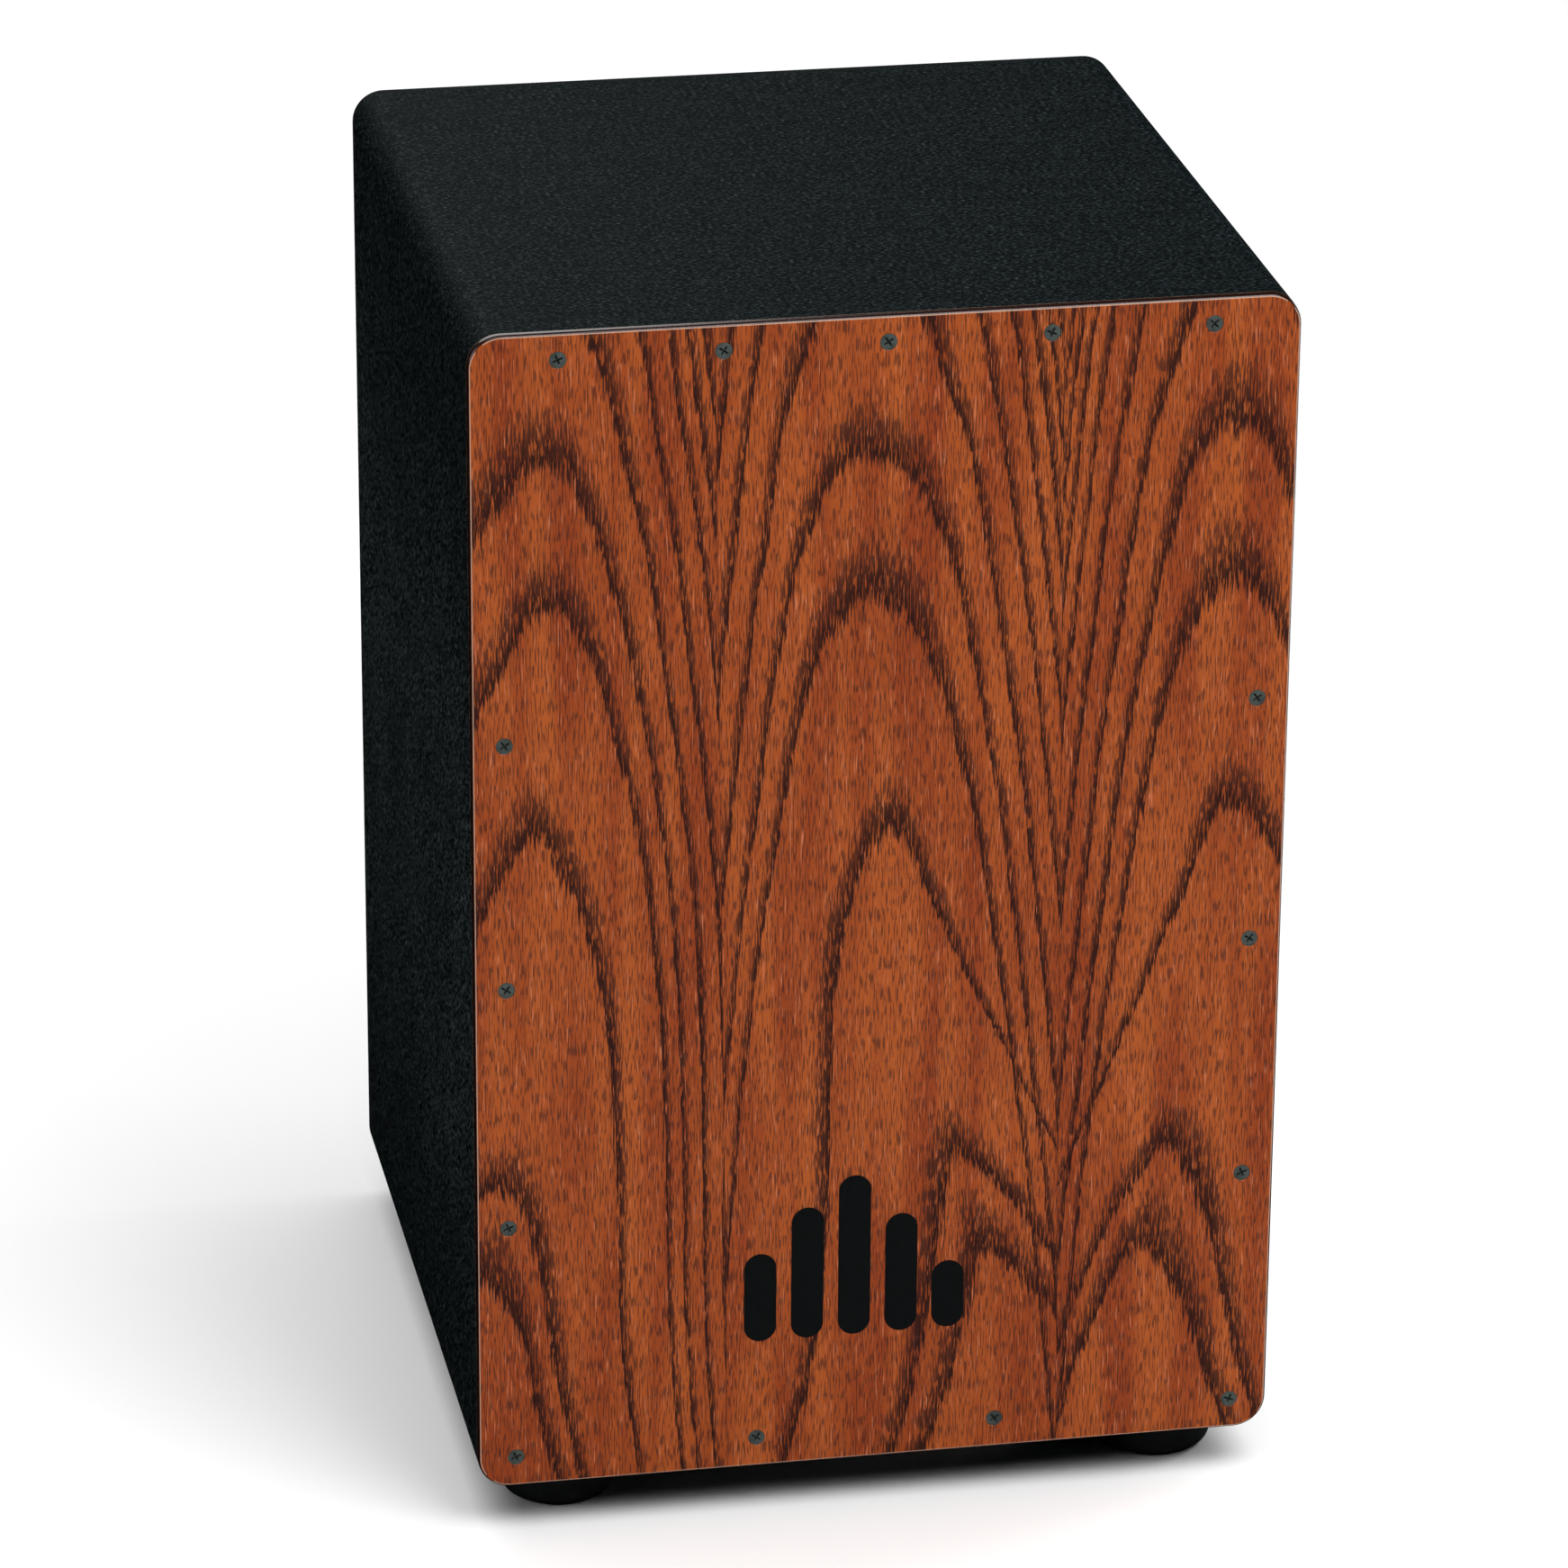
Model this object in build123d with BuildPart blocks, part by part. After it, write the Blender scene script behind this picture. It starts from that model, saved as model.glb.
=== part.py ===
from build123d import *
from math import atan2, tan
import os

# A cajon: a box drum that the player sits on and strikes on its thin front plate.
# Millimetres. +Z is up, the front plate faces -Y, and the origin is on the floor under
# the middle of the box.

# ---------------------------------------------------------------- driving dimensions
box_width = 300.0
box_depth = 300.0
box_height = 450.0
foot_height = 18.0
wall = 8.0
corner_radius = 12.0

front_thickness = 3.0
front_edge_round = 1.4
back_thickness = 5.0
back_edge_round = 1.0

port_radius = 60.0
port_below_top = 150.0
port_edge_round = 1.5

front_batten_width = 16.0
front_batten_depth = 15.0
rear_batten_size = 12.0
corner_batten_size = 15.0
corner_batten_chamfer = 5.0

# Screws that hold the front plate: countersunk, flush with the face.
plate_screw_radius = 1.5
plate_screw_head_radius = 3.2
plate_screw_length = 16.0
plate_hole_radius = 1.6
plate_countersink_angle = 90.0
top_screw_inset = 10.0
top_screw_pitch = 59.0
top_screw_count = 5
side_screw_inset = 12.0
side_screw_lowest = 106.0
side_screw_pitch = 95.0
side_screw_count = 3
bottom_screw_inset = 12.0
bottom_screw_pitch = 90.6
bottom_screw_count = 4

# Feet: rubber, each on one pan-head wood screw with a washer.
foot_inset = 35.0
foot_radius = 23.0
foot_base_radius = 21.5
foot_base_round = 4.5
foot_top_round = 0.8
foot_recess_radius = 7.5
foot_recess_depth = 8.0
foot_hole_radius = 2.2
foot_screw_radius = 2.0
foot_screw_bite = 7.0
foot_screw_head_radius = 4.0
foot_screw_head_height = 2.8
foot_screw_head_chamfer = 1.0
washer_radius = 6.0
washer_thickness = 1.0
washer_hole_radius = 2.2

# Snare strings and their tuner.
sheet_thickness = 1.5
sheet_edge_round = 0.74
string_radius = 0.45
string_gap = 0.15
saddle_gap = 0.1
string_ball_radius = 1.9
ball_gap = 0.05
string_lead = 3.0
string_bend_radius = 12.0
tuner_spacing = 50.0
string_spacing = 24.0
outer_string_top = 70.0
inner_string_top = 32.0

tension_screw_radius = 2.5
tension_tip_chamfer = 0.8
tension_head_radius = 4.25
tension_head_height = 4.6
tension_head_chamfer = 0.4
tension_socket_width = 4.0
tension_socket_depth = 2.6
tension_screw_top = 104.0
running_clearance = 0.05
bush_radius = 4.0
bush_hole_radius = 4.05
bush_flange_radius = 6.3
bush_flange_thickness = 1.5
bush_recess_radius = 6.5
bush_recess_depth = 6.5

carriage_width = 34.0
carriage_height = 12.0
carriage_base = 66.0
carriage_gap = 0.3
carriage_front_gap = 2.0
carriage_corner_round = 1.0
carriage_string_hole_radius = 1.25
carriage_string_setback = 3.8

tuner_bracket_width = 96.0
tuner_bracket_base = 29.0
tuner_saddle_top = 102.0
anchor_bracket_width = 156.0
anchor_bracket_top = 457.0
anchor_saddle_top = 429.5
anchor_hole_radius = 1.3
anchor_hole_rise = 8.0
anchor_hole_cut = 6.0
bracket_screw_radius = 1.5
bracket_screw_head_radius = 3.0
bracket_screw_head_height = 2.0
bracket_screw_head_chamfer = 0.8
bracket_screw_bite = 10.5
tuner_bracket_screw_x = (-38.0, 0.0, 38.0)
tuner_bracket_screw_rise = 10.0
anchor_bracket_screw_x = (-72.0, -26.0, 26.0, 72.0)
anchor_bracket_screw_z = 452.0

# ---------------------------------------------------------------- worked out from them
box_base = foot_height
box_top = foot_height + box_height
box_middle = foot_height + box_height / 2
inner_width = box_width - 2 * wall
inner_height = box_height - 2 * wall
inner_base = box_base + wall
inner_top = box_top - wall
face_y = -box_depth / 2
shell_front_y = face_y + front_thickness
shell_back_y = box_depth / 2 - back_thickness
shell_length = shell_back_y - shell_front_y
batten_back_y = shell_front_y + front_batten_depth
rear_batten_y = shell_back_y - rear_batten_size
port_z = box_top - port_below_top
foot_x = box_width / 2 - foot_inset
foot_y = box_depth / 2 - foot_inset

tension_screw_y = (shell_front_y + batten_back_y) / 2
string_y = shell_front_y + string_gap + string_radius
saddle_y = string_y + string_radius + saddle_gap
saddle_bend_radius = sheet_thickness / 2 + saddle_gap + string_radius
carriage_front_y = shell_front_y + carriage_front_gap
carriage_back_y = batten_back_y - carriage_gap
carriage_string_y = shell_front_y + carriage_string_setback
carriage_middle_z = carriage_base + carriage_height / 2
tuner_bracket_screw_z = inner_base + tuner_bracket_screw_rise

# The face of the front plate, looked at from the player's side.
face_plane = Plane.XZ.offset(-face_y)
shell_front = Plane.XZ.offset(-shell_front_y)

plate_screw_places = {
    "top": [
        ((i - (top_screw_count - 1) / 2) * top_screw_pitch, box_top - top_screw_inset)
        for i in range(top_screw_count)
    ],
    "left": [
        (side_screw_inset - box_width / 2, box_base + side_screw_lowest + i * side_screw_pitch)
        for i in range(side_screw_count)
    ],
    "right": [
        (box_width / 2 - side_screw_inset, box_base + side_screw_lowest + i * side_screw_pitch)
        for i in range(side_screw_count)
    ],
    "bottom": [
        ((i - (bottom_screw_count - 1) / 2) * bottom_screw_pitch, box_base + bottom_screw_inset)
        for i in range(bottom_screw_count)
    ],
}

# Each string's place across the box: at its carriage, then at the anchor.
string_places = {
    f"{side_name}_{name}": (side * low, side * high)
    for side_name, side in (("left", -1), ("right", 1))
    for name, low, high in (
        ("outer", (tuner_spacing + string_spacing) / 2, outer_string_top),
        ("inner", (tuner_spacing - string_spacing) / 2, inner_string_top),
    )
}

os.makedirs("parts", exist_ok=True)


def save(piece, name):
    """Label a finished piece and write it as its own STEP file."""
    piece.part.label = name
    export_step(piece.part, f"parts/{name}.step")


# ---------------------------------------------------------------- the shell
def shell_board(corners):
    """One wall of the shell: the slice of the rounded tube between two mitres."""
    with BuildPart() as board:
        with BuildSketch(shell_front):
            with Locations((0, box_middle)):
                RectangleRounded(box_width, box_height, corner_radius)
                Rectangle(inner_width, inner_height, mode=Mode.SUBTRACT)
            with BuildLine():
                Polyline(*corners, close=True)
            make_face(mode=Mode.INTERSECT)
        extrude(amount=-shell_length)
    return board


def make_top_and_sides():
    half, inner_half = box_width / 2, inner_width / 2
    top = [(-half, box_top), (half, box_top), (inner_half, inner_top), (-inner_half, inner_top)]
    save(shell_board(top), "top_panel")
    for name, side in (("left", -1), ("right", 1)):
        upright = [
            (side * half, box_base),
            (side * half, box_top),
            (side * inner_half, inner_top),
            (side * inner_half, inner_base),
        ]
        save(shell_board(upright), f"{name}_side_panel")


def make_bottom_panel():
    """The floor board, with the tuner's two recesses and a pilot hole for each foot."""
    half, inner_half = box_width / 2, inner_width / 2
    floor = shell_board(
        [(-half, box_base), (half, box_base), (inner_half, inner_base), (-inner_half, inner_base)]
    )
    with BuildPart() as board:
        add(floor.part)
        with Locations(Plane((0, tension_screw_y, box_base), x_dir=(1, 0, 0), z_dir=(0, 0, -1))):
            with GridLocations(tuner_spacing, 0, 2, 1):
                CounterBoreHole(bush_hole_radius, bush_recess_radius, bush_recess_depth, wall)
        with Locations(Plane((0, 0, box_base), x_dir=(1, 0, 0), z_dir=(0, 0, -1))):
            with GridLocations(2 * foot_x, 2 * foot_y, 2, 2):
                Hole(foot_screw_radius, foot_screw_bite)
    save(board, "bottom_panel")


def make_back_panel():
    with BuildPart() as board:
        with BuildSketch(Plane.XZ.offset(-shell_back_y)):
            with Locations((0, box_middle)):
                RectangleRounded(box_width, box_height, corner_radius)
            with Locations((0, port_z)):
                Circle(port_radius, mode=Mode.SUBTRACT)
        extrude(amount=-back_thickness)
        fillet(board.faces().sort_by(Axis.Y)[-1].outer_wire().edges(), back_edge_round)
        port_edges = board.edges().filter_by(GeomType.CIRCLE).sort_by(SortBy.RADIUS)[-2:]
        fillet(port_edges.sort_by(Axis.Y)[-1], port_edge_round)
    save(board, "back_panel")


def make_front_plate():
    """The playing surface: thin plywood with rounded corners, eased edge and sunk screw holes."""
    with BuildPart() as plate:
        with BuildSketch(face_plane):
            with Locations((0, box_middle)):
                RectangleRounded(box_width, box_height, corner_radius)
        extrude(amount=-front_thickness)
        fillet(plate.faces().sort_by(Axis.Y)[0].outer_wire().edges(), front_edge_round)
        with Locations(face_plane):
            for places in plate_screw_places.values():
                with Locations(*places):
                    CounterSinkHole(
                        plate_hole_radius,
                        plate_screw_head_radius + plate_hole_radius - plate_screw_radius,
                        front_thickness,
                        plate_countersink_angle,
                    )
    save(plate, "front_plate")


# ---------------------------------------------------------------- the inner frame
def front_batten(low, high, screw_places):
    """One batten of the frame behind the front plate, drilled for the plate's screws."""
    with BuildPart() as batten:
        with BuildSketch(shell_front):
            with Locations(((low[0] + high[0]) / 2, (low[1] + high[1]) / 2)):
                Rectangle(high[0] - low[0], high[1] - low[1])
        extrude(amount=-front_batten_depth)
        with Locations(shell_front):
            with Locations(*screw_places):
                Hole(plate_screw_radius, plate_screw_length - front_thickness)
    return batten.part


def make_front_frame():
    half = inner_width / 2
    top_z = inner_top - front_batten_width
    base_z = inner_base + front_batten_width
    rear = Plane((0, batten_back_y, 0), x_dir=(-1, 0, 0), z_dir=(0, 1, 0))
    with BuildPart() as top:
        add(front_batten((-half, top_z), (half, inner_top), plate_screw_places["top"]))
        with Locations(rear):
            with Locations(*[(x, anchor_bracket_screw_z) for x in anchor_bracket_screw_x]):
                Hole(bracket_screw_radius, bracket_screw_bite)
    save(top, "front_batten_top")
    with BuildPart() as base:
        add(front_batten((-half, inner_base), (half, base_z), plate_screw_places["bottom"]))
        with Locations(rear):
            with Locations(*[(x, tuner_bracket_screw_z) for x in tuner_bracket_screw_x]):
                Hole(bracket_screw_radius, bracket_screw_bite)
        with Locations((0, tension_screw_y, base_z)):
            with GridLocations(tuner_spacing, 0, 2, 1):
                Hole(bush_hole_radius, front_batten_width)
    save(base, "front_batten_bottom")
    for name, side in (("left", -1), ("right", 1)):
        low_x, high_x = sorted((side * half, side * (half - front_batten_width)))
        with BuildPart() as upright:
            add(front_batten((low_x, base_z), (high_x, top_z), plate_screw_places[name]))
        save(upright, f"front_batten_{name}")


def make_rear_frame():
    """Battens that the back board is glued to."""
    half = inner_width / 2
    middle = half - rear_batten_size / 2
    upright = inner_height - 2 * rear_batten_size
    for name, place, size in (
        ("top", (0, inner_top - rear_batten_size / 2), (inner_width, rear_batten_size)),
        ("bottom", (0, inner_base + rear_batten_size / 2), (inner_width, rear_batten_size)),
        ("left", (-middle, box_middle), (rear_batten_size, upright)),
        ("right", (middle, box_middle), (rear_batten_size, upright)),
    ):
        with BuildPart() as batten:
            with BuildSketch(Plane.XZ.offset(-rear_batten_y)):
                with Locations(place):
                    Rectangle(*size)
            extrude(amount=-rear_batten_size)
        save(batten, f"rear_batten_{name}")


def make_corner_battens():
    """Square strips along the four long corners, chamfered on the edge that faces inwards."""
    length = rear_batten_y - batten_back_y
    size = corner_batten_size
    for level, up, corner_z in (("top", -1, inner_top), ("bottom", 1, inner_base)):
        for name, side in (("left", 1), ("right", -1)):
            corner_x = -side * inner_width / 2
            with BuildPart() as batten:
                with BuildSketch(Plane.XZ.offset(-batten_back_y)):
                    with BuildLine():
                        Polyline(
                            (corner_x, corner_z),
                            (corner_x + side * size, corner_z),
                            (corner_x + side * size, corner_z + up * (size - corner_batten_chamfer)),
                            (corner_x + side * (size - corner_batten_chamfer), corner_z + up * size),
                            (corner_x, corner_z + up * size),
                            close=True,
                        )
                    make_face()
                extrude(amount=-length)
            save(batten, f"corner_batten_{level}_{name}")


# ---------------------------------------------------------------- fasteners of the front plate
def make_plate_screws():
    """Countersunk wood screws, one group for each edge of the plate."""
    taper = plate_screw_head_radius - plate_screw_radius
    tip = 2 * plate_screw_radius
    for name, places in plate_screw_places.items():
        with BuildPart() as screws:
            for x, z in places:
                with BuildSketch(Plane((x, face_y, z), x_dir=(1, 0, 0), z_dir=(0, 0, 1))):
                    with BuildLine():
                        Polyline(
                            (0, 0),
                            (plate_screw_head_radius, 0),
                            (plate_screw_radius, taper),
                            (plate_screw_radius, plate_screw_length - tip),
                            (0, plate_screw_length),
                            close=True,
                        )
                    make_face()
                revolve(axis=Axis((x, face_y, z), (0, 1, 0)))
        save(screws, f"plate_screws_{name}")


# ---------------------------------------------------------------- feet
def make_feet():
    head_base = foot_recess_depth - washer_thickness - foot_screw_head_height
    corners = [
        ("front_left", -foot_x, -foot_y),
        ("front_right", foot_x, -foot_y),
        ("rear_left", -foot_x, foot_y),
        ("rear_right", foot_x, foot_y),
    ]
    for name, x, y in corners:
        with BuildPart() as foot:
            with BuildSketch(Plane((x, y, 0), x_dir=(1, 0, 0), z_dir=(0, -1, 0))) as profile:
                with BuildLine():
                    Polyline(
                        (foot_hole_radius, foot_height),
                        (foot_radius, foot_height),
                        (foot_base_radius, 0),
                        (foot_recess_radius, 0),
                        (foot_recess_radius, foot_recess_depth),
                        (foot_hole_radius, foot_recess_depth),
                        close=True,
                    )
                make_face()
                fillet(profile.vertices().sort_by(Axis.X)[-2], foot_base_round)
                fillet(profile.vertices().sort_by(Axis.X)[-1], foot_top_round)
            revolve(axis=Axis((x, y, 0), (0, 0, 1)))
        save(foot, f"foot_{name}")

    with BuildPart() as washers:
        for _, x, y in corners:
            with BuildSketch(Plane.XY.offset(foot_recess_depth - washer_thickness)):
                with Locations((x, y)):
                    Circle(washer_radius)
                    Circle(washer_hole_radius, mode=Mode.SUBTRACT)
            extrude(amount=washer_thickness)
    save(washers, "foot_washers")

    screw_top = foot_height + foot_screw_bite
    with BuildPart() as screws:
        for _, x, y in corners:
            with BuildSketch(Plane((x, y, 0), x_dir=(1, 0, 0), z_dir=(0, -1, 0))):
                with BuildLine():
                    Polyline(
                        (0, head_base),
                        (foot_screw_head_radius - foot_screw_head_chamfer, head_base),
                        (foot_screw_head_radius, head_base + foot_screw_head_chamfer),
                        (foot_screw_head_radius, head_base + foot_screw_head_height),
                        (foot_screw_radius, head_base + foot_screw_head_height),
                        (foot_screw_radius, screw_top - 2 * foot_screw_radius),
                        (0, screw_top),
                        close=True,
                    )
                make_face()
            revolve(axis=Axis((x, y, 0), (0, 0, 1)))
    save(screws, "foot_screws")


# ---------------------------------------------------------------- snare strings and tuner
def string_route(low_x, high_x):
    """The upright plane that a string lies in, and its route there: distance along it, then y."""
    saddle_z = anchor_saddle_top - sheet_thickness / 2
    rise = saddle_z - carriage_middle_z
    along = Vector(high_x - low_x, 0, rise).normalized()
    plane = Plane((low_x, 0, carriage_middle_z), x_dir=along, z_dir=along.cross(Vector(0, 1, 0)))
    web_y = batten_back_y + sheet_thickness / 2
    ball_y = batten_back_y + sheet_thickness + string_ball_radius + ball_gap
    slope = anchor_hole_rise / (web_y - string_y)
    turn = atan2(1, slope)
    saddle = rise / along.Z + saddle_bend_radius * tan(turn / 2)
    return plane, [
        (-(carriage_height / 2 + string_ball_radius + ball_gap) / along.Z, carriage_string_y),
        ((carriage_height / 2 + string_lead) / along.Z, carriage_string_y),
        ((tuner_saddle_top - sheet_thickness / 2 - carriage_middle_z) / along.Z, string_y),
        (saddle, string_y),
        (saddle + slope * (ball_y - string_y), ball_y),
    ]


def make_strings():
    """Steel strings with a ball at each end, bent over the tuner's and the anchor's saddles."""
    for name, (low_x, high_x) in string_places.items():
        plane, route = string_route(low_x, high_x)
        with BuildPart() as string:
            with BuildLine(plane) as path:
                FilletPolyline(*route, radius=(string_bend_radius, string_bend_radius, saddle_bend_radius))
            with BuildSketch(Plane(path.line @ 0, z_dir=path.line % 0)):
                Circle(string_radius)
            sweep(path=path.line)
            with Locations(path.line @ 0, path.line @ 1):
                Sphere(string_ball_radius)
        save(string, f"string_{name}")


def angle_bracket(width, web_low, web_high, saddle_top):
    """A sheet-steel angle: a web on the batten's back and a leg that reaches the strings."""
    saddle_base = saddle_top - sheet_thickness
    web_back_y = batten_back_y + sheet_thickness
    with BuildPart() as bracket:
        with BuildSketch(Plane.YZ.offset(-width / 2)) as profile:
            with Locations(((batten_back_y + web_back_y) / 2, (web_low + web_high) / 2)):
                Rectangle(sheet_thickness, web_high - web_low)
            with Locations(((saddle_y + web_back_y) / 2, (saddle_base + saddle_top) / 2)):
                Rectangle(web_back_y - saddle_y, sheet_thickness)
            fillet(profile.vertices().group_by(Axis.X)[0], sheet_edge_round)
        extrude(amount=width)
    return bracket.part


def make_brackets():
    behind = batten_back_y + sheet_thickness
    with BuildPart() as tuner:
        add(angle_bracket(tuner_bracket_width, tuner_bracket_base, tuner_saddle_top, tuner_saddle_top))
        with Locations((0, tension_screw_y, tuner_saddle_top)):
            with GridLocations(tuner_spacing, 0, 2, 1):
                Hole(tension_screw_radius + 2 * running_clearance, sheet_thickness)
        with Locations(Plane((0, behind, tuner_bracket_screw_z), x_dir=(-1, 0, 0), z_dir=(0, 1, 0))):
            with Locations(*[(x, 0) for x in tuner_bracket_screw_x]):
                Hole(bracket_screw_radius, sheet_thickness)
    save(tuner, "tuner_bracket")

    anchor_saddle_base = anchor_saddle_top - sheet_thickness
    with BuildPart() as anchor:
        add(angle_bracket(anchor_bracket_width, anchor_saddle_base, anchor_bracket_top, anchor_saddle_top))
        with Locations(Plane((0, behind, anchor_bracket_screw_z), x_dir=(-1, 0, 0), z_dir=(0, 1, 0))):
            with Locations(*[(x, 0) for x in anchor_bracket_screw_x]):
                Hole(bracket_screw_radius, sheet_thickness)
        for low_x, high_x in string_places.values():
            plane, route = string_route(low_x, high_x)
            saddle, ball = (plane.from_local_coords(point) for point in route[-2:])
            with BuildSketch(Plane(ball, z_dir=ball - saddle)):
                Circle(anchor_hole_radius)
            extrude(amount=-anchor_hole_cut, mode=Mode.SUBTRACT)
    save(anchor, "anchor_bracket")

    for name, xs, z in (
        ("tuner_bracket_screws", tuner_bracket_screw_x, tuner_bracket_screw_z),
        ("anchor_bracket_screws", anchor_bracket_screw_x, anchor_bracket_screw_z),
    ):
        with BuildPart() as screws:
            for x in xs:
                with BuildSketch(Plane((x, behind, z), x_dir=(1, 0, 0), z_dir=(0, 0, 1))):
                    with BuildLine():
                        Polyline(
                            (0, bracket_screw_head_height),
                            (
                                bracket_screw_head_radius - bracket_screw_head_chamfer,
                                bracket_screw_head_height,
                            ),
                            (
                                bracket_screw_head_radius,
                                bracket_screw_head_height - bracket_screw_head_chamfer,
                            ),
                            (bracket_screw_head_radius, 0),
                            (bracket_screw_radius, 0),
                            (bracket_screw_radius, -bracket_screw_bite + bracket_screw_radius),
                            (0, -bracket_screw_bite),
                            close=True,
                        )
                    make_face()
                revolve(axis=Axis((x, behind, z), (0, 1, 0)))
        save(screws, name)


def make_tuner():
    """On each side: a hex-socket screw in a bush, and the carriage that it draws up and down."""
    bush_base = box_base + bush_recess_depth - bush_flange_thickness
    bush_shoulder = box_base + bush_recess_depth
    head_top = bush_base - running_clearance
    head_base = head_top - tension_head_height
    for name, x in (("left", -tuner_spacing / 2), ("right", tuner_spacing / 2)):
        with BuildPart() as bush:
            with BuildSketch(Plane((x, tension_screw_y, 0), x_dir=(1, 0, 0), z_dir=(0, -1, 0))):
                with BuildLine():
                    Polyline(
                        (tension_screw_radius + running_clearance, bush_base),
                        (bush_flange_radius, bush_base),
                        (bush_flange_radius, bush_shoulder),
                        (bush_radius, bush_shoulder),
                        (bush_radius, inner_base + front_batten_width),
                        (tension_screw_radius + running_clearance, inner_base + front_batten_width),
                        close=True,
                    )
                make_face()
            revolve(axis=Axis((x, tension_screw_y, 0), (0, 0, 1)))
        save(bush, f"{name}_tension_bush")

        with BuildPart() as screw:
            with BuildSketch(Plane((x, tension_screw_y, head_base))):
                Circle(tension_head_radius)
            extrude(amount=tension_head_height)
            chamfer(screw.faces().sort_by(Axis.Z)[0].edges(), tension_head_chamfer)
            with BuildSketch(Plane((x, tension_screw_y, head_top))):
                Circle(tension_screw_radius)
            extrude(amount=tension_screw_top - head_top)
            chamfer(screw.faces().sort_by(Axis.Z)[-1].edges(), tension_tip_chamfer)
            with BuildSketch(Plane((x, tension_screw_y, head_base))):
                RegularPolygon(tension_socket_width / 2, 6, major_radius=False)
            extrude(amount=tension_socket_depth, mode=Mode.SUBTRACT)
        save(screw, f"{name}_tension_screw")

        with BuildPart() as carriage:
            with BuildSketch(Plane.XY.offset(carriage_base)):
                with Locations((x, (carriage_front_y + carriage_back_y) / 2)):
                    Rectangle(carriage_width, carriage_back_y - carriage_front_y)
                with Locations((x, tension_screw_y)):
                    Circle(tension_screw_radius + running_clearance, mode=Mode.SUBTRACT)
                with Locations((x, carriage_string_y)):
                    with GridLocations(string_spacing, 0, 2, 1):
                        Circle(carriage_string_hole_radius, mode=Mode.SUBTRACT)
            extrude(amount=carriage_height)
            upright_corners = carriage.edges().filter_by(Axis.Z).group_by(Axis.X)
            fillet(upright_corners[0] + upright_corners[-1], carriage_corner_round)
        save(carriage, f"{name}_string_carriage")


make_top_and_sides()
make_bottom_panel()
make_back_panel()
make_front_plate()
make_front_frame()
make_rear_frame()
make_corner_battens()
make_plate_screws()
make_feet()
make_brackets()
make_tuner()
make_strings()
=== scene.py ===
"""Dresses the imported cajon: stained ash front, black shell, hardware, snare strings and a studio.

Metres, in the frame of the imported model: +Z is up, the front plate faces -Y and the origin
is on the floor under the middle of the box.
"""

import math

import bmesh
import bpy
from bpy.props import (
    FloatProperty,
    FloatVectorProperty,
    IntProperty,
    PointerProperty,
)
from mathutils import Matrix, Vector


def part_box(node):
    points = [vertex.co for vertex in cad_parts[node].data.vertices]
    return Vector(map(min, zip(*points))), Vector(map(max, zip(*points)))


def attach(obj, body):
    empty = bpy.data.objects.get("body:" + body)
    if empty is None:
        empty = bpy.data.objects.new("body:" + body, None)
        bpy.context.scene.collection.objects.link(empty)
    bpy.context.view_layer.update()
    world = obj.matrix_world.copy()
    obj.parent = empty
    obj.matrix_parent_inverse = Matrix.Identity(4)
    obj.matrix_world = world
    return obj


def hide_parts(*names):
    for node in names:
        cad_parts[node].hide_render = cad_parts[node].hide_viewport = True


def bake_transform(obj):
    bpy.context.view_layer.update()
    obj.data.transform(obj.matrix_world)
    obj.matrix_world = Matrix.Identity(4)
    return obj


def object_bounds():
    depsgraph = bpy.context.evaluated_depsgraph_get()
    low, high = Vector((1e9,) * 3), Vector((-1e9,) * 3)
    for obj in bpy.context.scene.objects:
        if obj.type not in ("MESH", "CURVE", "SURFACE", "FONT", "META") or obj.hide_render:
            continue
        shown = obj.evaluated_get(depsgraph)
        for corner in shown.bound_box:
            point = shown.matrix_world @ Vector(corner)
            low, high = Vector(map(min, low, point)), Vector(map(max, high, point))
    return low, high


bl_info = {
    "name": "Cajon",
    "version": (1, 0, 0),
    "blender": (4, 5, 0),
    "location": "View3D > Sidebar > Cajon",
    "description": "Finishes a packed cajon: veneer, shell, screws, feet, snare strings and a studio",
    "category": "Object",
}

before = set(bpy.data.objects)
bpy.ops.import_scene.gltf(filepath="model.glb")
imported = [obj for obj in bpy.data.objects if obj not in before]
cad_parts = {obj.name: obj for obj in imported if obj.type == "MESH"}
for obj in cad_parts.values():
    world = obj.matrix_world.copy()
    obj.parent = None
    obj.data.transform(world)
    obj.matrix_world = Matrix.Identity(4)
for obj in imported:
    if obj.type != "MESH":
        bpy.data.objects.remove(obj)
CAD_BOX = [list(corner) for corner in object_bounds()]

MM = 0.001
PLATE_LOW, PLATE_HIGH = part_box("front_plate")
PLATE_MIDDLE = (PLATE_LOW.z + PLATE_HIGH.z) / 2
FACE_Y = PLATE_LOW.y
MERGE = 1e-6
SHARP_ANGLE = math.radians(32)
LATHE_STEPS = 48
MARK_STEPS = 32
BAR_SHARES = (0.55, 0.82, 1.0, 0.74, 0.42)
RECESS_TAPER = 0.5
THREAD_ROOT = 0.9
THREAD_FLANK = 0.38
FLOOR_REACH = 20.0

# A noise this many millimetres long hardly changes through the plate's thickness.
THROUGH = 400

# Heights on a leaf's centre line where a dark growth ring crosses it, in millimetres. The
# rings above the plate only reach it down a leaf's flanks.
LOWER_RINGS = (98, 137, 275)
UPPER_RINGS = (361, 417, 482, 550, 614, 661, 697, 730)
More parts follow.
